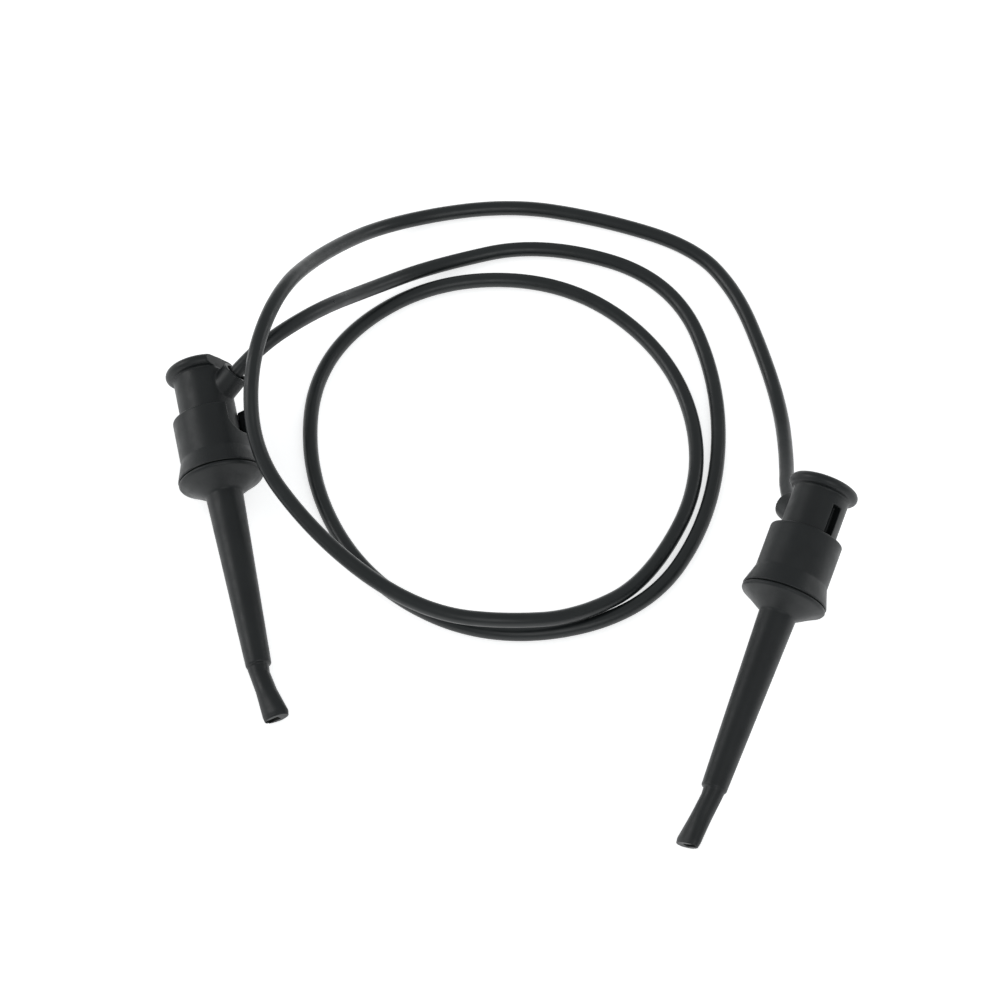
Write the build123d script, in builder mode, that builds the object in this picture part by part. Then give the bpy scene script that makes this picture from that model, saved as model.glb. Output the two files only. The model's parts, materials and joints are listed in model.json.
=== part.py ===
from build123d import *
import math
import os

os.makedirs("parts", exist_ok=True)

# A test lead: one cord with a spring-loaded hook clip at each end, lying on a surface at z = 0.
# Millimetres. +X runs across the lead, +Y from the clips' tips to their caps, +Z up.
# Each clip is drawn upright on its own axis (nose tip at z = 0, stub towards +X) and then laid down.

# Clip stations, measured from the nose tip along the clip
STEP_Z = 8.5  # where the round nose ends and the bent tip starts
ROOT_Z = 34.3  # where the nose meets the barrel's rounded underside
JOINT_Z = 36.9  # joint line between the two barrel mouldings
SKIRT_Z = 39.9  # top of the flared skirt
RIM_Z = 46.3  # open rim of the barrel
FLANGE_Z = 52.55  # underside of the finger flange
CAP_Z = 54.15  # outer face of the cap
DOME_H = 0.3  # the cap's outer face is slightly domed

# Radii and widths of the clip
SLEEVE_R = 5.15
SLEEVE_BORE_R = 4.03
SKIRT_R = 6.03
NOSE_ROOT_R = 2.62
NOSE_END_R = 1.79
BODY_R = 3.95
BODY_BORE_R = 2.7
FLANGE_R = 4.9
SPIGOT_R = 4.55
GROOVE_W = 0.25

# The slot in the tip
HOOK_SLOT_W = 0.95

# The cord stub on the side of the plunger
STUB_ANGLE = 62  # degrees from the clip's axis, leaning towards the cap
STUB_R = 2.05
STUB_BORE_R = 1.5
MOUTH_X = 5.8
MOUTH_Z = 50.9
CHORD_X = 3.55  # the flange is cut flat here, over the stub

# Wire parts
HOOK_R = 0.36
HOOK_BEND_R = 0.55
FERRULE_R = 1.1
FERRULE_LENGTH = 4.2
CRIMP_DEPTH = 2.0  # how far the conductor reaches into the ferrule
CONDUCTOR_R = 0.4
SPRING_MEAN_R = 2.1
SPRING_WIRE_R = 0.22
SPRING_TURNS = 7
CORD_R = 1.05
CORD_END_OUT = -3.6  # the jacket ends this far inside the stub's mouth

# Inside the clip
BODY_BOTTOM_Z = 41.0  # lower end of the plunger's body
SHOULDER_Z = 46.4  # the plunger's bore narrows here
NECK_R = 1.7
NECK_TOP_Z = 49.6
COLLAR_Z = 46.0  # underside of the ferrule's collar, where the spring presses
COLLAR_R = 2.4
FERRULE_TOP_Z = 46.4
FLOOR_Z = 36.0  # the barrel's inner floor
CAVITY_R = 4.05
SPIGOT_TOP_Z = 38.5
HOOK_BORE_R = 0.5
SLOT_W = 1.5
SLOT_BOTTOM_Z = 44.0
SLOT_TOP_Z = 50.9
KEY_W = 1.2
KEY_BOTTOM_Z = 44.2
KEY_H = 1.4
NOTCH_W = 4.5
NOTCH_DEPTH = 4.4

# The bent tip: height, the edge away from the stub, the edge on the stub's side, thickness
TIP_SECTIONS = [
    (8.3, -1.70, 1.42, 2.95),
    (7.2, -1.52, 1.30, 2.84),
    (4.4, -1.07, 1.87, 2.80),
    (0.7, -0.87, 3.10, 2.55),
    (0.0, -0.72, 3.02, 2.25),
]

SIN = math.sin(math.radians(STUB_ANGLE))
COS = math.cos(math.radians(STUB_ANGLE))


def stub_point(out, across=0.0, aside=0.0):
    """A point this far outside the stub's mouth (inside is negative), moved off its axis capwards or sideways."""
    return Vector(MOUTH_X + out * SIN - across * COS, aside, MOUTH_Z + out * COS + across * SIN)


def stub_plane(out):
    """The plane square to the stub's axis at that point."""
    return Plane(origin=stub_point(out), x_dir=(COS, 0, -SIN), z_dir=(SIN, 0, COS))


def clip_plane(tip_x, tip_y, tip_z, heading, slope, roll):
    """Where a clip lies: its tip, then the way its cap points, its rise, and the stub's roll from straight up."""
    h, t, r = (math.radians(a) for a in (heading, slope, roll))
    axis = Vector(-math.sin(h) * math.cos(t), math.cos(h) * math.cos(t), math.sin(t))
    side = Vector(math.cos(h), math.sin(h), 0)
    above = side.cross(axis)
    return Plane(origin=(tip_x, tip_y, tip_z), x_dir=above * math.cos(r) + side * math.sin(r), z_dir=axis)


# How each clip lies: tip x, y and z, heading, slope and roll
CLIPS = {
    "left": clip_plane(-32.4, -16.8, 0.86, 11.7, 8.0, 55.3),
    "right": clip_plane(24.7, -36.6, 2.26, -20.8, 13.0, -131),
}

STUB_ROOT = stub_point(-MOUTH_X / SIN)


def make_plunger():
    """The cap that the thumb presses: finger flange, hollow body and side stub for the cord."""
    with BuildPart() as plunger:
        with BuildSketch(Plane.XZ):
            with BuildLine():
                rim_r = (CAP_Z - FLANGE_Z) / 2
                flat_r = FLANGE_R - rim_r
                dome_r = (flat_r**2 + DOME_H**2) / (2 * DOME_H)
                dome_mid_z = CAP_Z + DOME_H - dome_r + math.sqrt(dome_r**2 - (flat_r / 2) ** 2)
                Line((0, BODY_BOTTOM_Z), (BODY_R, BODY_BOTTOM_Z))
                Line((BODY_R, BODY_BOTTOM_Z), (BODY_R, FLANGE_Z))
                Line((BODY_R, FLANGE_Z), (flat_r, FLANGE_Z))
                ThreePointArc((flat_r, FLANGE_Z), (FLANGE_R, FLANGE_Z + rim_r), (flat_r, CAP_Z))
                ThreePointArc((flat_r, CAP_Z), (flat_r / 2, dome_mid_z), (0, CAP_Z + DOME_H))
                Line((0, CAP_Z + DOME_H), (0, BODY_BOTTOM_Z))
            make_face()
        revolve(axis=Axis.Z)
        # the flange is cut flat over the stub
        with BuildSketch(Plane.XY.offset(FLANGE_Z - 0.35)):
            with Locations((CHORD_X + 2, 0)):
                Rectangle(4, 12)
        extrude(amount=4, mode=Mode.SUBTRACT)
        with BuildSketch(stub_plane(0)):
            Circle(STUB_R)
        extrude(amount=-5)
        # spring room, ferrule room and the stub's bore
        with BuildSketch(Plane.XY.offset(BODY_BOTTOM_Z)):
            Circle(BODY_BORE_R)
        extrude(amount=SHOULDER_Z - BODY_BOTTOM_Z, mode=Mode.SUBTRACT)
        with BuildSketch(Plane.XY.offset(SHOULDER_Z)):
            Circle(NECK_R)
        extrude(amount=NECK_TOP_Z - SHOULDER_Z, mode=Mode.SUBTRACT)
        with BuildSketch(stub_plane(0)):
            Circle(STUB_BORE_R)
        extrude(amount=-7, mode=Mode.SUBTRACT)
        # the guide slot, opposite the stub
        with BuildSketch(Plane.XY.offset(SLOT_BOTTOM_Z)):
            with Locations((-BODY_R - 0.4, 0)):
                Rectangle(3.5, SLOT_W)
        extrude(amount=SLOT_TOP_Z - SLOT_BOTTOM_Z, mode=Mode.SUBTRACT)
    return plunger.part


def make_sleeve():
    """The barrel's upper moulding: a tube with a U-shaped notch for the stub, a guide key and a flared skirt."""
    foot_z = JOINT_Z + GROOVE_W
    with BuildPart() as sleeve:
        with BuildSketch(Plane.XZ):
            with BuildLine():
                Polyline(
                    (SLEEVE_BORE_R, SPIGOT_TOP_Z + 0.1),
                    (SLEEVE_BORE_R, RIM_Z),
                    (SLEEVE_R - 0.15, RIM_Z),
                    (SLEEVE_R, RIM_Z - 0.15),
                    (SLEEVE_R, SKIRT_Z),
                    (SKIRT_R, foot_z + 0.12),
                    (SKIRT_R - 0.1, foot_z),
                    (SPIGOT_R, foot_z),
                    (SPIGOT_R, SPIGOT_TOP_Z + 0.1),
                    (SLEEVE_BORE_R, SPIGOT_TOP_Z + 0.1),
                )
            make_face()
        revolve(axis=Axis.Z)
        with BuildSketch(Plane.YZ.offset(2.5)):
            with Locations((0, RIM_Z - NOTCH_DEPTH + NOTCH_W / 2)):
                Circle(NOTCH_W / 2)
            with Locations((0, RIM_Z + 1 - (NOTCH_DEPTH + 1 - NOTCH_W / 2) / 2)):
                Rectangle(NOTCH_W, NOTCH_DEPTH + 1 - NOTCH_W / 2)
        extrude(amount=4, mode=Mode.SUBTRACT)
        with BuildSketch(Plane.XY.offset(KEY_BOTTOM_Z)):
            with Locations((-SLEEVE_BORE_R + 0.25, 0)):
                Rectangle(1.3, KEY_W)
        extrude(amount=KEY_H)
    return sleeve.part


def make_nose():
    """The barrel's lower moulding: rounded underside, long tapered nose and the bent tip that hides the hook."""
    foot_z = JOINT_Z + GROOVE_W
    with BuildPart() as nose:
        with BuildSketch(Plane.XZ):
            with BuildLine():
                Polyline(
                    (0, FLOOR_Z),
                    (CAVITY_R, FLOOR_Z),
                    (CAVITY_R, SPIGOT_TOP_Z),
                    (SPIGOT_R, SPIGOT_TOP_Z),
                    (SPIGOT_R, foot_z),
                    (SKIRT_R - 0.45, foot_z),
                    (SKIRT_R - 0.45, JOINT_Z),
                    (SKIRT_R - 0.12, JOINT_Z),
                )
                ThreePointArc((SKIRT_R - 0.12, JOINT_Z), (SKIRT_R - 0.02, JOINT_Z - 0.25), (SKIRT_R - 0.2, JOINT_Z - 0.55))
                ThreePointArc(
                    (SKIRT_R - 0.2, JOINT_Z - 0.55),
                    ((SKIRT_R + NOSE_ROOT_R) / 2 + 0.05, (JOINT_Z + ROOT_Z) / 2 - 0.27),
                    (NOSE_ROOT_R + 0.15, ROOT_Z + 0.1),
                )
                Polyline(
                    (NOSE_ROOT_R + 0.15, ROOT_Z + 0.1),
                    (NOSE_ROOT_R, ROOT_Z - 0.1),
                    (NOSE_END_R, STEP_Z),
                    (NOSE_END_R - 0.1, STEP_Z - 0.2),
                    (0, STEP_Z - 0.2),
                    (0, FLOOR_Z),
                )
            make_face()
        revolve(axis=Axis.Z)
        # the tip leans towards the stub and widens like a paddle
        for low, high in zip(TIP_SECTIONS[1:], TIP_SECTIONS[:-1]):
            for z, left, right, thick in (high, low):
                with BuildSketch(Plane.XY.offset(z)):
                    with Locations(((left + right) / 2, 0)):
                        Ellipse((right - left) / 2, thick / 2)
            loft(ruled=True)
        # bore for the hook wire, and the slot the hook folds into
        with BuildSketch(Plane.XY):
            Circle(HOOK_BORE_R)
        extrude(amount=FLOOR_Z, mode=Mode.SUBTRACT)
        with BuildSketch(Plane.XY):
            with Locations((HOOK_BEND_R - 0.02, 0)):
                Rectangle(2 * HOOK_BEND_R + 1.0, HOOK_SLOT_W)
        extrude(amount=3.6, mode=Mode.SUBTRACT)
    return nose.part


def make_hook_wire():
    """The contact: a straight wire that folds back on itself at the tip."""
    with BuildPart() as hook_wire:
        with BuildLine():
            turn_z = 0.4 + HOOK_R + HOOK_BEND_R
            Line((0, 0, FERRULE_TOP_Z - CRIMP_DEPTH), (0, 0, turn_z))
            ThreePointArc((0, 0, turn_z), (HOOK_BEND_R, 0, turn_z - HOOK_BEND_R), (2 * HOOK_BEND_R, 0, turn_z))
            Line((2 * HOOK_BEND_R, 0, turn_z), (2 * HOOK_BEND_R, 0, 2.9))
        with BuildSketch(Plane.XY.offset(FERRULE_TOP_Z - CRIMP_DEPTH)):
            Circle(HOOK_R)
        sweep()
    return hook_wire.part


def make_spring():
    """The return spring, between the barrel's floor and the ferrule's collar."""
    low = FLOOR_Z + SPRING_WIRE_R
    high = COLLAR_Z - SPRING_WIRE_R
    with BuildPart() as return_spring:
        with BuildLine(Plane.XY.offset(low)):
            Helix(pitch=(high - low) / SPRING_TURNS, height=high - low, radius=SPRING_MEAN_R)
        with BuildSketch(Plane(origin=(SPRING_MEAN_R, 0, low), x_dir=(1, 0, 0), z_dir=(0, 1, 0))):
            Circle(SPRING_WIRE_R)
        sweep(is_frenet=True)
    return return_spring.part


def make_ferrule():
    """The crimped sleeve that joins the conductor to the hook wire, with a collar under the plunger's shoulder."""
    with BuildPart() as ferrule:
        with BuildSketch(Plane.XY.offset(FERRULE_TOP_Z - FERRULE_LENGTH)):
            Circle(FERRULE_R)
        extrude(amount=FERRULE_LENGTH)
        with BuildSketch(Plane.XY.offset(COLLAR_Z)):
            Circle(COLLAR_R)
        extrude(amount=SHOULDER_Z - COLLAR_Z)
        with BuildSketch(Plane.XY.offset(FERRULE_TOP_Z - FERRULE_LENGTH)):
            Circle(HOOK_R)
        extrude(amount=FERRULE_LENGTH - CRIMP_DEPTH, mode=Mode.SUBTRACT)
        with BuildSketch(Plane.XY.offset(FERRULE_TOP_Z - CRIMP_DEPTH)):
            Circle(CONDUCTOR_R)
        extrude(amount=CRIMP_DEPTH, mode=Mode.SUBTRACT)
    return ferrule.part


def make_conductor():
    """The stripped end of the cord's core, from the jacket's end down into the ferrule."""
    with BuildPart() as conductor:
        with BuildLine():
            FilletPolyline(
                (0, 0, FERRULE_TOP_Z - CRIMP_DEPTH),
                tuple(STUB_ROOT),
                tuple(stub_point(CORD_END_OUT)),
                radius=1.0,
            )
        with BuildSketch(Plane.XY.offset(FERRULE_TOP_Z - CRIMP_DEPTH)):
            Circle(CONDUCTOR_R)
        sweep()
    return conductor.part


# The cord's corners between the two stubs, in order: nearly two loose loops on the surface
ROUTE = [
    (-27.3, 42.0, 13.2),
    (-19.4, 51.6, 4.6),
    (-10.6, 57.9, 1.1),
    (4.9, 62.0, 1.1),
    (23.8, 55.5, 1.1),
    (30.3, 36.2, 1.1),
    (28.6, 15.8, 1.1),
    (18.7, -0.2, 1.1),
    (-2.1, -4.6, 1.1),
    (-19.3, 4.5, 1.1),
    (-28.3, 22.1, 1.1),
    (-27.2, 42.3, 1.1),
    (-11.8, 55.4, 1.1),
    (8.8, 55.4, 1.1),
    (23.8, 41.9, 1.1),
    (27.8, 22.6, 1.1),
    (19.6, 5.3, 1.1),
    # over the other strand
    (9.4, -1.9, 3.4),
    (-0.6, -4.2, 6.3),
    (-9.6, -3.3, 6.7),
    (-18.6, 1.7, 7.0),
    # past the left clip and over the cord that leaves it
    (-27.5, 9.3, 9.2),
    (-34.9, 18.7, 12.5),
    (-35.8, 29.3, 17.9),
    (-32.3, 41.5, 18.7),
    (-26.6, 54.3, 9.5),
    (-17.1, 65.4, 1.1),
    (-0.4, 68.6, 1.1),
    (13.3, 66.1, 1.1),
    (26.8, 61.1, 1.1),
    (32.8, 53.2, 1.1),
    (36.4, 42.2, 1.1),
    (38.5, 33.3, 1.1),
    (38.9, 23.2, 4.5),
]
# The cord's first corner outside each stub: how far out, then how far off the stub's axis, capwards and sideways
EXITS = {"left": (3.4, 0.3, 0), "right": (1.5, 0.3, -0.4)}

ends = {
    side: [plane.from_local_coords(stub_point(*place)) for place in ((CORD_END_OUT, 0, 0), EXITS[side])]
    for side, plane in CLIPS.items()
}
corners = ends["left"] + [Vector(*point) for point in ROUTE] + ends["right"][::-1]

radii = []
for before, here, after in zip(corners, corners[1:], corners[2:]):
    into = here - before
    away = after - here
    turn = math.radians(into.get_angle(away))
    radii.append(0.45 * min(into.length, away.length) / math.tan(turn / 2))
print("cord radii:", [round(r, 1) for r in radii])

with BuildPart() as cord:
    with BuildLine() as cord_line:
        FilletPolyline(*corners, radius=radii)
    with BuildSketch(Plane(origin=corners[0], z_dir=corners[1] - corners[0])):
        Circle(CORD_R)
    sweep()
cord_length = cord_line.wires()[0].length
print("cord length:", round(cord_length, 1))
print("cord volume over section times length:", round(cord.part.volume / (math.pi * CORD_R**2 * cord_length), 4))
cord.part.label = "cord"
export_step(cord.part, "parts/cord.step")

SHAPES = {
    "plunger": make_plunger(),
    "sleeve": make_sleeve(),
    "nose": make_nose(),
    "hook_wire": make_hook_wire(),
    "return_spring": make_spring(),
    "ferrule": make_ferrule(),
    "conductor": make_conductor(),
}

for side, plane in CLIPS.items():
    for name, shape in SHAPES.items():
        placed = shape.moved(plane.location)
        placed.label = f"{side}_{name}"
        export_step(placed, f"parts/{side}_{name}.step")
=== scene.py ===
import json
import math

import bmesh
import bpy
from mathutils import Matrix, Vector


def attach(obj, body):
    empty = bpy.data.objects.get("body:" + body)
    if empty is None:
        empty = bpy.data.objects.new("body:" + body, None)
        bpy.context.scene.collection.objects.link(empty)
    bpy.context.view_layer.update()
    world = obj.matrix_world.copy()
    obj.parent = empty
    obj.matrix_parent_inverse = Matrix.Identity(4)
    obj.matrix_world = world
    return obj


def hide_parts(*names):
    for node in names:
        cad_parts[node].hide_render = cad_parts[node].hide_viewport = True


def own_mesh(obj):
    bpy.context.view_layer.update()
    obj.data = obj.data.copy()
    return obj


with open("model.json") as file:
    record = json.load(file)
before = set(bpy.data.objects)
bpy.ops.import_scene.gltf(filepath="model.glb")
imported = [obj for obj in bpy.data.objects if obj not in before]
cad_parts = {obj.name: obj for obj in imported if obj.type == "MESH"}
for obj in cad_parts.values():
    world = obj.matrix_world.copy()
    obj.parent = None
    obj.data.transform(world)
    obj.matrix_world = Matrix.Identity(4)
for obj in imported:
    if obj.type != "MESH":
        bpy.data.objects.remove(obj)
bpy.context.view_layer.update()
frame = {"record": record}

# Sizes on the clips are in millimetres, on each clip's own axis: nose tip at z = 0, stub towards +X.
MM = 0.001

STEP_Z = 8.3
ROOT_Z = 34.3
FLOOR_Z = 36.0
JOINT_Z = 36.9
FOOT_Z = 37.03
SPIGOT_TOP_Z = 38.5
SKIRT_Z = 39.9
BODY_BOTTOM_Z = 41.0
COLLAR_Z = 46.0
RIM_Z = 46.3
SHOULDER_Z = 46.4
FLANGE_Z = 52.55
CAP_Z = 54.15

# How far the cutters of holes and slots run on: past an end, to a side, and outwards
PAST = 1
CUT_SIDE = 6
CUT_FAR = 8

SLEEVE_R = 5.15
SLEEVE_BORE_R = 4.03
SKIRT_R = 6.03
SPIGOT_R = 4.55
CAVITY_R = 4.05
NOSE_ROOT_R = 2.62
NOSE_END_R = 1.79
BODY_R = 3.95
BODY_BORE_R = 2.7
NECK_R = 1.7
FLANGE_R = 4.9
HOOK_R = 0.36
HOOK_BEND_R = 0.55
HOOK_BORE_R = 0.5

STUB_ANGLE = math.radians(62)
STUB_R = 2.05
STUB_BORE_R = 1.5
MOUTH_X = 5.8
MOUTH_Z = 50.9
CHORD_X = 3.55
STUB_LENGTH = 5
STUB_BORE_LENGTH = 6.9
NECK_ROOM = 4.2
CROWN = 0.3

# The guide slot in the plunger, and the sleeve's key and notch
GUIDE_SLOT_Z = (44.0, 50.9)
GUIDE_SLOT_HALF = 0.75
KEY_Z = (44.2, 45.6)
KEY_HALF = 0.6
KEY_R = 3.13
NOTCH_R = 2.25
NOTCH_DEPTH = 4.4
NOTCH_X = 2.5
NOTCH_REACH = 5

# The wire and its slot in the tip, the ferrule, the spring and the conductor's strands
WIRE_TOP_Z = 44.4
HOOK_LOW_Z = 0.4
HOOK_END_Z = 2.9
HOOK_SLOT_X = (-0.52, 1.58)
HOOK_SLOT_HALF = 0.475
HOOK_SLOT_Z = 3.6
FERRULE_Z = 42.2
FERRULE_R = 1.1
CRIMP_R = 0.98
FERRULE_BORE_R = 0.42
COLLAR_R = 2.4
SPRING_TURNS = 7
SPRING_FLAT_TURN = 0.8
SPRING_R = 2.1
SPRING_WIRE_R = 0.22
SPRING_END = 0.23
STRANDS_ROUND = 6
STRAND_R = 0.14
STRAND_RING_R = 0.26
STRAND_TWIST = 0.5

CORD_R = 1.05
CORD_END_OUT = -3.6

# Height, the edge away from the stub, the edge on the stub's side, thickness; the first lies inside the nose
TIP_SECTIONS = [
    (8.8, -1.6, 1.35, 2.9),
    (8.3, -1.70, 1.42, 2.95),
    (7.2, -1.52, 1.30, 2.84),
    (4.4, -1.07, 1.87, 2.80),
    (0.7, -0.87, 3.10, 2.55),
    (0.0, -0.72, 3.02, 2.25),
]

ROLLS = {"left": 55.3, "right": -131}  # how far each clip's stub is turned from straight up, in degrees

# The cord's corners between the two stubs, in millimetres
ROUTE = [
    (-27.3, 42.0, 13.2),
    (-19.4, 51.6, 4.6),
    (-10.6, 57.9, 1.1),
    (4.9, 62.0, 1.1),
    (23.8, 55.5, 1.1),
    (30.3, 36.2, 1.1),
    (28.6, 15.8, 1.1),
    (18.7, -0.2, 1.1),
    (-2.1, -4.6, 1.1),
    (-19.3, 4.5, 1.1),
    (-28.3, 22.1, 1.1),
    (-27.2, 42.3, 1.1),
    (-11.8, 55.4, 1.1),
    (8.8, 55.4, 1.1),
    (23.8, 41.9, 1.1),
    (27.8, 22.6, 1.1),
    (19.6, 5.3, 1.1),
    # over the other strand
    (9.4, -1.9, 3.4),
    (-0.6, -4.2, 6.3),
    (-9.6, -3.3, 6.7),
    (-18.6, 1.7, 7.0),
    # past the left clip and over the cord that leaves it
    (-27.5, 9.3, 9.2),
    (-34.9, 18.7, 12.5),
    (-35.8, 29.3, 17.9),
    (-32.3, 41.5, 18.7),
    (-26.6, 54.3, 9.5),
    (-17.1, 65.4, 1.1),
    (-0.4, 68.6, 1.1),
    (13.3, 66.1, 1.1),
    (26.8, 61.1, 1.1),
    (32.8, 53.2, 1.1),
    (36.4, 42.2, 1.1),
    (38.5, 33.3, 1.1),
    (38.9, 23.2, 4.5),
]

# The cord's first corner outside each stub, in millimetres: how far out, then how far off the stub's axis,
# capwards and sideways
EXITS = {"left": (3.4, 0.3, 0), "right": (1.5, 0.3, -0.4)}


# ---------------------------------------------------------------- where the clips lie

def clip_matrix(side):
    """From a clip's own millimetres to the frame's metres, by the tip and axis of its hook mount."""
    mount = next(m for m in frame["record"]["mounts"] if m["name"] == f"{side}_hook")
    axis = -Vector(mount["axis"]).normalized()
    across = Vector((axis.y, -axis.x, 0)).normalized()
    above = across.cross(axis)
    roll = math.radians(ROLLS[side])
    stub = above * math.cos(roll) + across * math.sin(roll)
    turn = Matrix((stub, axis.cross(stub), axis)).transposed().to_4x4()
    return Matrix.Translation(Vector(mount["pos_m"])) @ turn @ Matrix.Scale(MM, 4)


def stub_point(out, across=0.0, aside=0.0):
    """A point this far outside the stub's mouth, moved off its axis capwards or sideways."""
    sin, cos = math.sin(STUB_ANGLE), math.cos(STUB_ANGLE)
    return Vector((MOUTH_X + out * sin - across * cos, aside, MOUTH_Z + out * cos + across * sin))


def stub_matrix(out):
    """Axes with z along the stub, at that point."""
    return Matrix.Translation(stub_point(out)) @ Matrix.Rotation(STUB_ANGLE, 4, "Y")


PLACES = {side: clip_matrix(side) for side in ROLLS}


# ---------------------------------------------------------------- camera

PHOTO_CENTRE = Vector((-1.1 * MM, 19.1 * MM, 0))
ELEVATION = math.radians(58.5)
DISTANCE = 0.727
SENSOR_WIDTH = 36
LENS_TO_SENSOR = 5.2


def photo_camera():
    """The camera where the photograph was taken from, as fitted to it."""
    camera = bpy.data.objects.new("camera", bpy.data.cameras.new("camera"))
    bpy.context.scene.collection.objects.link(camera)
    camera.data.sensor_width = SENSOR_WIDTH
    camera.data.lens = SENSOR_WIDTH * LENS_TO_SENSOR
    camera.data.clip_start = 0.05
    back = Vector((0, -math.cos(ELEVATION), math.sin(ELEVATION)))
    camera.location = PHOTO_CENTRE + back * DISTANCE
    camera.rotation_mode = "QUATERNION"
    camera.rotation_quaternion = (-back).to_track_quat("-Z", "Y")
    bpy.context.scene.camera = camera


photo_camera()


# ---------------------------------------------------------------- materials

def new_material(name):
    """A material with its nodes, its links and its shader."""
    material = bpy.data.materials.new(name)
    material.use_nodes = True
    nodes = material.node_tree.nodes
    return material, nodes, material.node_tree.links, nodes["Principled BSDF"]


def noise(nodes, links, scale, detail):
    """A noise texture on object coordinates, so it has a real size."""
    where = nodes.new("ShaderNodeTexCoord")
    texture = nodes.new("ShaderNodeTexNoise")
    texture.inputs["Scale"].default_value = scale
    texture.inputs["Detail"].default_value = detail
    links.new(where.outputs["Object"], texture.inputs["Vector"])
    return texture.outputs["Fac"]


def ramp(nodes, links, factor, low, high):
    """A colour or a value that runs from low to high over the middle of the factor's range."""
    node = nodes.new("ShaderNodeValToRGB")
    for element, place, value in zip(node.color_ramp.elements, (0.3, 0.7), (low, high)):
        element.position = place
        element.color = value if isinstance(value, tuple) else (value, value, value, 1)
    links.new(factor, node.inputs["Fac"])
    return node.outputs["Color"]


def bump(nodes, links, height, distance, strength, under=None):
    """A bump node of that depth in metres."""
    node = nodes.new("ShaderNodeBump")
    node.inputs["Distance"].default_value = distance
    node.inputs["Strength"].default_value = strength
    links.new(height, node.inputs["Height"])
    if under:
        links.new(under, node.inputs["Normal"])
    return node.outputs["Normal"]


def plastic():
    """Black moulded plastic: satin, with faint flow clouding, fine spark texture and a few rubbed patches."""
    material, nodes, links, shader = new_material("plastic_finish")
    cloud = noise(nodes, links, 260, 4)
    colour = ramp(nodes, links, cloud, (0.0068, 0.0083, 0.0089, 1), (0.0102, 0.0122, 0.0128, 1))
    links.new(colour, shader.inputs["Base Color"])
    rubbed = noise(nodes, links, 620, 5)
    links.new(ramp(nodes, links, rubbed, 0.36, 0.5), shader.inputs["Roughness"])
    grain = noise(nodes, links, 9000, 2)
    sink = noise(nodes, links, 420, 2)
    normal = bump(nodes, links, sink, 0.00012, 0.25)
    links.new(bump(nodes, links, grain, 0.000012, 0.5, normal), shader.inputs["Normal"])
    shader.inputs["Specular IOR Level"].default_value = 0.38
    return material


def jacket():
    """The cord's black flexible jacket: smoother than the clips, with fine grain and dulled patches."""
    material, nodes, links, shader = new_material("jacket_finish")
    cloud = noise(nodes, links, 180, 4)
    colour = ramp(nodes, links, cloud, (0.0072, 0.0092, 0.0096, 1), (0.0115, 0.0142, 0.0148, 1))
    links.new(colour, shader.inputs["Base Color"])
    dull = noise(nodes, links, 500, 5)
    links.new(ramp(nodes, links, dull, 0.27, 0.42), shader.inputs["Roughness"])
    grain = noise(nodes, links, 5200, 3)
    wave = noise(nodes, links, 700, 2)
    normal = bump(nodes, links, wave, 0.00008, 0.3)
    links.new(bump(nodes, links, grain, 0.00001, 0.4, normal), shader.inputs["Normal"])
    shader.inputs["Specular IOR Level"].default_value = 0.45
    return material


def metal(name, low, high, rough_low, rough_high):
    """A metal with a faint drawn or plated variation."""
    material, nodes, links, shader = new_material(name)
    links.new(ramp(nodes, links, noise(nodes, links, 900, 4), low, high), shader.inputs["Base Color"])
    roughness = ramp(nodes, links, noise(nodes, links, 2600, 3), rough_low, rough_high)
    links.new(roughness, shader.inputs["Roughness"])
    links.new(bump(nodes, links, noise(nodes, links, 7000, 2), 0.000008, 0.4), shader.inputs["Normal"])
    shader.inputs["Metallic"].default_value = 1.0
    return material


MATERIALS = {
    "clip_plastic": plastic(),
    "cord_jacket": jacket(),
    "contact_wire": metal("contact_finish", (0.55, 0.52, 0.45, 1), (0.7, 0.67, 0.6, 1), 0.18, 0.34),
    "spring_steel": metal("spring_finish", (0.42, 0.42, 0.42, 1), (0.6, 0.6, 0.6, 1), 0.22, 0.4),
    "ferrule_metal": metal("ferrule_finish", (0.62, 0.5, 0.24, 1), (0.78, 0.64, 0.34, 1), 0.2, 0.4),
    "conductor_metal": metal("conductor_finish", (0.7, 0.36, 0.22, 1), (0.85, 0.5, 0.34, 1), 0.2, 0.38),
}


# ---------------------------------------------------------------- mesh helpers

def link(obj):
    bpy.context.scene.collection.objects.link(obj)
    return obj


def from_bmesh(name, shape):
    mesh = bpy.data.meshes.new(name)
    bmesh.ops.recalc_face_normals(shape, faces=shape.faces)
    shape.to_mesh(mesh)
    shape.free()
    return link(bpy.data.objects.new(name, mesh))


def arc(cx, cz, r, start, end, steps=10):
    """Points round a corner of a profile, angles in degrees."""
    angles = (math.radians(start + (end - start) * i / steps) for i in range(steps + 1))
    return [(cx + r * math.cos(a), cz + r * math.sin(a)) for a in angles]


def lathe(name, outline, closed=False, turns=96):
    """A solid turned about z from (radius, height) points; an open outline starts and ends on the axis."""
    shape = bmesh.new()
    rings = []
    for r, z in outline:
        if r < 1e-6:
            rings.append([shape.verts.new((0, 0, z))])
        else:
            angles = (2 * math.pi * i / turns for i in range(turns))
            rings.append([shape.verts.new((r * math.cos(a), r * math.sin(a), z)) for a in angles])
    pairs = list(zip(rings, rings[1:]))
    if closed:
        pairs.append((rings[-1], rings[0]))
    for low, high in pairs:
        for i in range(turns):
            j = (i + 1) % turns
            corners = [low[i % len(low)], low[j % len(low)], high[j % len(high)], high[i % len(high)]]
            shape.faces.new(list(dict.fromkeys(corners)))
    return from_bmesh(name, shape)


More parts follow.
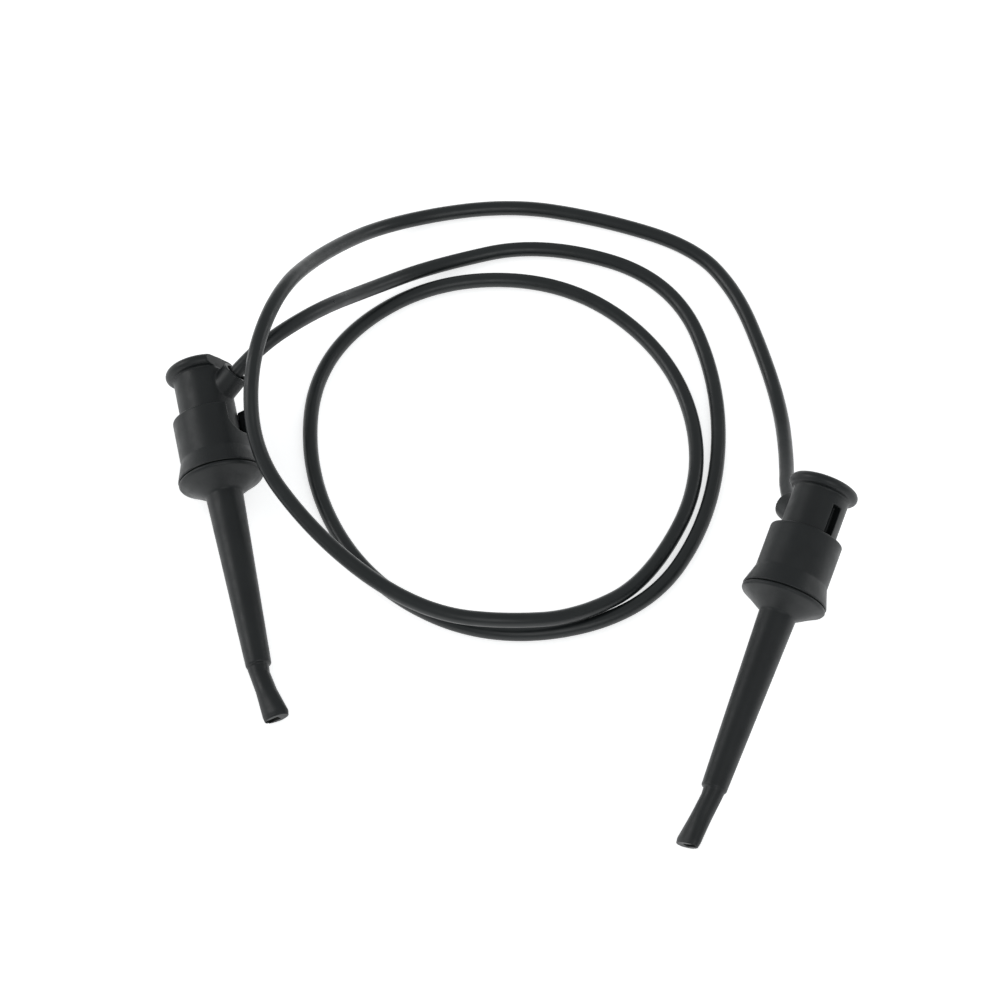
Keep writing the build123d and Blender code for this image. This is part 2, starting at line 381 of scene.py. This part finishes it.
def loft(name, rings):
    """A closed solid through rings of the same number of points."""
    shape = bmesh.new()
    rows = [[shape.verts.new(p) for p in ring] for ring in rings]
    for low, high in zip(rows, rows[1:]):
        for i in range(len(low)):
            j = (i + 1) % len(low)
            shape.faces.new((low[i], low[j], high[j], high[i]))
    shape.faces.new(rows[0])
    shape.faces.new(rows[-1])
    return from_bmesh(name, shape)


def rod(name, matrix, radius, length, turns=64):
    """A cylinder from the matrix's origin along its z."""
    angles = (2 * math.pi * i / turns for i in range(turns))
    circle = [(radius * math.cos(a), radius * math.sin(a)) for a in angles]
    return loft(name, [[matrix @ Vector((x, y, z)) for x, y in circle] for z in (0, length)])


def block(name, low, high):
    """A box between two corners."""
    corners = [(low[0], low[1]), (high[0], low[1]), (high[0], high[1]), (low[0], high[1])]
    return loft(name, [[Vector((x, y, z)) for x, y in corners] for z in (low[2], high[2])])


def baked(obj):
    """The object with its modifiers turned into its mesh."""
    mesh = bpy.data.meshes.new_from_object(obj.evaluated_get(bpy.context.evaluated_depsgraph_get()))
    obj.modifiers.clear()
    obj.data = mesh
    return obj


def combine(obj, others, operation):
    """Joins the others to the object, or cuts them out of it."""
    for other in others:
        modifier = obj.modifiers.new("combine", "BOOLEAN")
        modifier.operation = operation
        modifier.solver = "EXACT"
        modifier.object = other
        bpy.context.view_layer.update()
        baked(obj)
        bpy.data.objects.remove(other)
    return obj


def moulded(obj, voxel=0.11):
    """Rounds every edge the way a moulding has it, and thins the mesh again."""
    remesh = obj.modifiers.new("remesh", "REMESH")
    remesh.mode = "VOXEL"
    remesh.voxel_size = voxel
    smooth = obj.modifiers.new("smooth", "SMOOTH")
    smooth.factor = 0.5
    smooth.iterations = 3
    thin = obj.modifiers.new("thin", "DECIMATE")
    thin.ratio = 0.35
    bpy.context.view_layer.update()
    return baked(obj)


def finish_piece(obj, side, part, slot, body):
    """Puts a piece in its place in the frame, gives it its material and lets it stand for its CAD node."""
    obj.data.transform(PLACES[side])
    obj.data.materials.clear()
    obj.data.materials.append(MATERIALS[slot])
    obj.data.polygons.foreach_set("use_smooth", [True] * len(obj.data.polygons))
    obj.name = f"{side}_{part}_piece"
    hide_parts(f"{side}_{part}")
    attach(obj, body)
    return obj


# ---------------------------------------------------------------- the clip's pieces

def plunger():
    """The cap: finger flange cut flat over the stub, hollow body with a guide slot, and the cord stub."""
    rim_r = (CAP_Z - FLANGE_Z) / 2
    flat_r = FLANGE_R - rim_r
    outline = [(0, BODY_BOTTOM_Z), (BODY_R, BODY_BOTTOM_Z), (BODY_R, FLANGE_Z)]
    outline += arc(flat_r, FLANGE_Z + rim_r, rim_r, -90, 90)
    outline += [(flat_r * share, CAP_Z + CROWN * (1 - share**2)) for share in (0.75, 0.5, 0.25, 0)]
    body = lathe("plunger", outline)
    chord = block("chord", (CHORD_X, -CUT_SIDE, FLANGE_Z - 0.35), (CUT_FAR, CUT_SIDE, CAP_Z + 2 * PAST))
    combine(body, [chord], "DIFFERENCE")
    combine(body, [rod("stub", stub_matrix(-STUB_LENGTH), STUB_R, STUB_LENGTH)], "UNION")
    spring_room = Matrix.Translation((0, 0, BODY_BOTTOM_Z - PAST))
    ferrule_room = Matrix.Translation((0, 0, SHOULDER_Z - PAST))
    slot_low, slot_high = GUIDE_SLOT_Z
    cuts = [
        rod("spring_room", spring_room, BODY_BORE_R, SHOULDER_Z - BODY_BOTTOM_Z + PAST),
        rod("ferrule_room", ferrule_room, NECK_R, NECK_ROOM),
        rod("stub_bore", stub_matrix(-STUB_BORE_LENGTH), STUB_BORE_R, CUT_FAR),
        block("guide_slot", (-CUT_SIDE, -GUIDE_SLOT_HALF, slot_low), (-2.6, GUIDE_SLOT_HALF, slot_high)),
    ]
    return moulded(combine(body, cuts, "DIFFERENCE"))


def sleeve():
    """The barrel's upper moulding, with the U-shaped notch, the guide key and the flared skirt."""
    outline = [(SPIGOT_R, FOOT_Z), (SPIGOT_R, SPIGOT_TOP_Z + 0.1), (SLEEVE_BORE_R, SPIGOT_TOP_Z + 0.1)]
    outline += [(SLEEVE_BORE_R, RIM_Z), (SLEEVE_R - 0.15, RIM_Z), (SLEEVE_R, RIM_Z - 0.15)]
    outline += [(SLEEVE_R, SKIRT_Z), (SKIRT_R, FOOT_Z + 0.12), (SKIRT_R - 0.1, FOOT_Z)]
    tube = lathe("sleeve", outline, closed=True)
    bottom = RIM_Z - NOTCH_DEPTH + NOTCH_R
    sideways = Matrix.Translation((NOTCH_X, 0, bottom)) @ Matrix.Rotation(math.pi / 2, 4, "Y")
    cuts = [
        rod("notch_end", sideways, NOTCH_R, NOTCH_REACH),
        block("notch", (NOTCH_X, -NOTCH_R, bottom), (CUT_FAR, NOTCH_R, RIM_Z + 2 * PAST)),
    ]
    combine(tube, cuts, "DIFFERENCE")
    key_low, key_high = KEY_Z
    combine(tube, [block("key", (-4.4, -KEY_HALF, key_low), (-KEY_R, KEY_HALF, key_high))], "UNION")
    return moulded(tube)


def ellipse(z, left, right, thick, turns=48):
    """A ring of the bent tip."""
    middle, half = (left + right) / 2, (right - left) / 2
    angles = (2 * math.pi * i / turns for i in range(turns))
    return [(middle + half * math.cos(a), thick / 2 * math.sin(a), z) for a in angles]


def nose():
    """The barrel's lower moulding: rounded underside, tapered nose and the bent, widened tip."""
    outline = [(0, FLOOR_Z), (CAVITY_R, FLOOR_Z), (CAVITY_R, SPIGOT_TOP_Z), (SPIGOT_R, SPIGOT_TOP_Z)]
    outline += [(SPIGOT_R, FOOT_Z), (SKIRT_R - 0.25, FOOT_Z), (SKIRT_R - 0.25, JOINT_Z)]
    outline += [(SKIRT_R - 0.12, JOINT_Z), (SKIRT_R - 0.02, JOINT_Z - 0.25), (SKIRT_R - 0.2, JOINT_Z - 0.55)]
    outline += [(4.6, 35.62)]
    outline += [(NOSE_ROOT_R + 0.15, ROOT_Z + 0.1), (NOSE_ROOT_R, ROOT_Z - 0.1), (NOSE_END_R, STEP_Z + 0.2)]
    outline += [(NOSE_END_R - 0.1, STEP_Z), (0, STEP_Z)]
    body = lathe("nose", outline)
    combine(body, [loft("tip", [ellipse(*section) for section in TIP_SECTIONS])], "UNION")
    slot_left, slot_right = HOOK_SLOT_X
    cuts = [
        rod("wire_bore", Matrix.Translation((0, 0, -PAST)), HOOK_BORE_R, FLOOR_Z + 2 * PAST),
        block("hook_slot", (slot_left, -HOOK_SLOT_HALF, -PAST), (slot_right, HOOK_SLOT_HALF, HOOK_SLOT_Z)),
    ]
    return moulded(combine(body, cuts, "DIFFERENCE"), voxel=0.1)


def smooth_line(name, points, radius, steps, roundness):
    """A round wire or cord along one open NURBS spline with these control points."""
    curve = bpy.data.curves.new(name, "CURVE")
    curve.dimensions = "3D"
    spline = curve.splines.new("NURBS")
    spline.points.add(len(points) - 1)
    for point, place in zip(spline.points, points):
        point.co = (*place, 1)
    spline.order_u = 3
    spline.use_endpoint_u = True
    curve.resolution_u = steps
    curve.bevel_depth = radius
    curve.bevel_resolution = roundness
    curve.use_fill_caps = True
    return link(bpy.data.objects.new(name, curve))


def wire(name, points, radius):
    """A smooth line turned into a mesh."""
    obj = smooth_line(name, points, radius, 8, 5)
    bpy.context.view_layer.update()
    mesh = bpy.data.meshes.new_from_object(obj)
    bpy.data.objects.remove(obj)
    return link(bpy.data.objects.new(name, mesh))


def hook_wire():
    """The contact: a straight wire folded back on itself at the tip."""
    turn = HOOK_LOW_Z + HOOK_R
    wide = 2 * HOOK_BEND_R
    points = [(0, 0, WIRE_TOP_Z), (0, 0, 30), (0, 0, 12), (0, 0, 3), (0, 0, turn), (wide / 2, 0, turn - 0.12)]
    points += [(wide, 0, turn), (wide, 0, 2), (wide, 0, HOOK_END_Z)]
    return wire("hook_wire", points, HOOK_R)


def return_spring():
    """The coil of spring wire, its end turns lying flat."""
    turns, steps = SPRING_TURNS, 20
    low, high = FLOOR_Z + SPRING_END, COLLAR_Z - SPRING_END
    points = []
    for i in range(turns * steps + 1):
        share = i / (turns * steps)
        flat = min(max((share * turns - SPRING_FLAT_TURN) / (turns - 2 * SPRING_FLAT_TURN), 0), 1)
        angle = 2 * math.pi * turns * share
        points.append((SPRING_R * math.cos(angle), SPRING_R * math.sin(angle), low + (high - low) * flat))
    return wire("return_spring", points, SPRING_WIRE_R)


def ferrule():
    """The crimped sleeve with its collar, pinched once round the conductor's end."""
    outline = [(HOOK_R, FERRULE_Z), (FERRULE_R - 0.1, FERRULE_Z), (FERRULE_R, FERRULE_Z + 0.1)]
    outline += [(FERRULE_R, 44.5), (CRIMP_R, 44.8), (CRIMP_R, 45.2), (FERRULE_R, 45.5), (FERRULE_R, COLLAR_Z)]
    outline += [(COLLAR_R - 0.1, COLLAR_Z), (COLLAR_R, COLLAR_Z + 0.1), (COLLAR_R, 46.3)]
    outline += [(COLLAR_R - 0.1, 46.38), (FERRULE_BORE_R, 46.38), (FERRULE_BORE_R, WIRE_TOP_Z)]
    outline += [(HOOK_R, WIRE_TOP_Z)]
    return lathe("ferrule", outline, closed=True)


def conductor():
    """The stripped core: fine strands laid round a middle one, from the jacket's end into the ferrule."""
    crossing = stub_point(-MOUTH_X / math.sin(STUB_ANGLE))
    end = stub_point(CORD_END_OUT)
    line = [Vector((0, 0, WIRE_TOP_Z)), Vector((0, 0, 46.2)), crossing, crossing.lerp(end, 0.6), end]
    strands = [wire("strand", line, STRAND_R)]
    for k in range(STRANDS_ROUND):
        start = 2 * math.pi * k / STRANDS_ROUND
        angles = [start + STRAND_TWIST * i for i in range(len(line))]
        aside = [Vector((STRAND_RING_R * math.cos(a), STRAND_RING_R * math.sin(a), 0)) for a in angles]
        strands.append(wire("strand", [p + step for p, step in zip(line, aside)], STRAND_R))
    shape = bmesh.new()
    for strand in strands:
        shape.from_mesh(strand.data)
        bpy.data.objects.remove(strand)
    return from_bmesh("conductor", shape)


# ---------------------------------------------------------------- cord

def cord_points():
    """The route's control points in metres, from inside the left stub to inside the right one."""
    ends = {}
    for side, place in PLACES.items():
        ends[side] = [place @ stub_point(CORD_END_OUT), place @ stub_point(*EXITS[side])]
    middle = [Vector(p) * MM for p in ROUTE]
    return ends["left"] + middle + ends["right"][::-1]


def cord():
    """The cord: one smooth line from stub to stub."""
    piece = smooth_line("cord_piece", cord_points(), CORD_R * MM, 20, 10)
    piece.data.materials.append(MATERIALS["cord_jacket"])
    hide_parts("cord")
    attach(piece, "lead")


cord()


# ---------------------------------------------------------------- clips

MAKERS = {
    "plunger": (plunger, "clip_plastic", "lead"),
    "sleeve": (sleeve, "clip_plastic", "barrel"),
    "nose": (nose, "clip_plastic", "barrel"),
    "hook_wire": (hook_wire, "contact_wire", "lead"),
    "return_spring": (return_spring, "spring_steel", "lead"),
    "ferrule": (ferrule, "ferrule_metal", "lead"),
    "conductor": (conductor, "conductor_metal", "lead"),
}


def squash_spring(piece):
    """Gives the spring a mesh of its own."""
    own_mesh(piece)


def clips():
    """Both clips, piece by piece: each shape is made once and used on both sides."""
    for part, (make, slot, body) in MAKERS.items():
        first = make()
        copies = {"left": first, "right": link(bpy.data.objects.new(part, first.data.copy()))}
        for side, piece in copies.items():
            on = f"{side}_barrel" if body == "barrel" else "lead"
            finish_piece(piece, side, part, slot, on)
            if part == "return_spring":
                squash_spring(piece)


clips()


# ---------------------------------------------------------------- floor and light

def floor():
    """A pale matt sheet under the lead, lit softly from beneath like a light table."""
    material, nodes, links, shader = new_material("floor_paper")
    colour = ramp(nodes, links, noise(nodes, links, 40, 3), (0.93, 0.93, 0.93, 1), (0.95, 0.95, 0.95, 1))
    links.new(colour, shader.inputs["Base Color"])
    shader.inputs["Roughness"].default_value = 0.9
    shader.inputs["Specular IOR Level"].default_value = 0.1
    shader.inputs["Emission Color"].default_value = (1, 1, 1, 1)
    shader.inputs["Emission Strength"].default_value = 0.62
    sheet = block("floor", (-3, -3, -0.01), (3, 3, 0))
    sheet.data.materials.append(material)


def area_light(name, place, target, size, power):
    """A square soft light facing the target."""
    lamp = bpy.data.lights.new(name, "AREA")
    lamp.size = size
    lamp.energy = power
    obj = link(bpy.data.objects.new(name, lamp))
    obj.location = place
    obj.rotation_mode = "QUATERNION"
    obj.rotation_quaternion = (Vector(target) - Vector(place)).to_track_quat("-Z", "Y")


# Name, place, size and power of each light
LIGHTS = [
    ("left_softbox", (-0.95, 0.15, 0.55), 0.6, 2.6),
    ("right_softbox", (0.95, 0.3, 0.35), 0.4, 0.8),
    ("front_softbox", (0.25, -0.9, 1.1), 0.8, 3.0),
]


def surroundings():
    """The pale, slightly cool light from all round."""
    world = bpy.data.worlds.new("studio")
    world.use_nodes = True
    background = world.node_tree.nodes["Background"]
    background.inputs["Color"].default_value = (0.95, 0.985, 1, 1)
    background.inputs["Strength"].default_value = 0.5
    bpy.context.scene.world = world


floor()
for name, place, size, power in LIGHTS:
    area_light(name, place, PHOTO_CENTRE, size, power)
surroundings()
bpy.context.scene.view_settings.view_transform = "Standard"
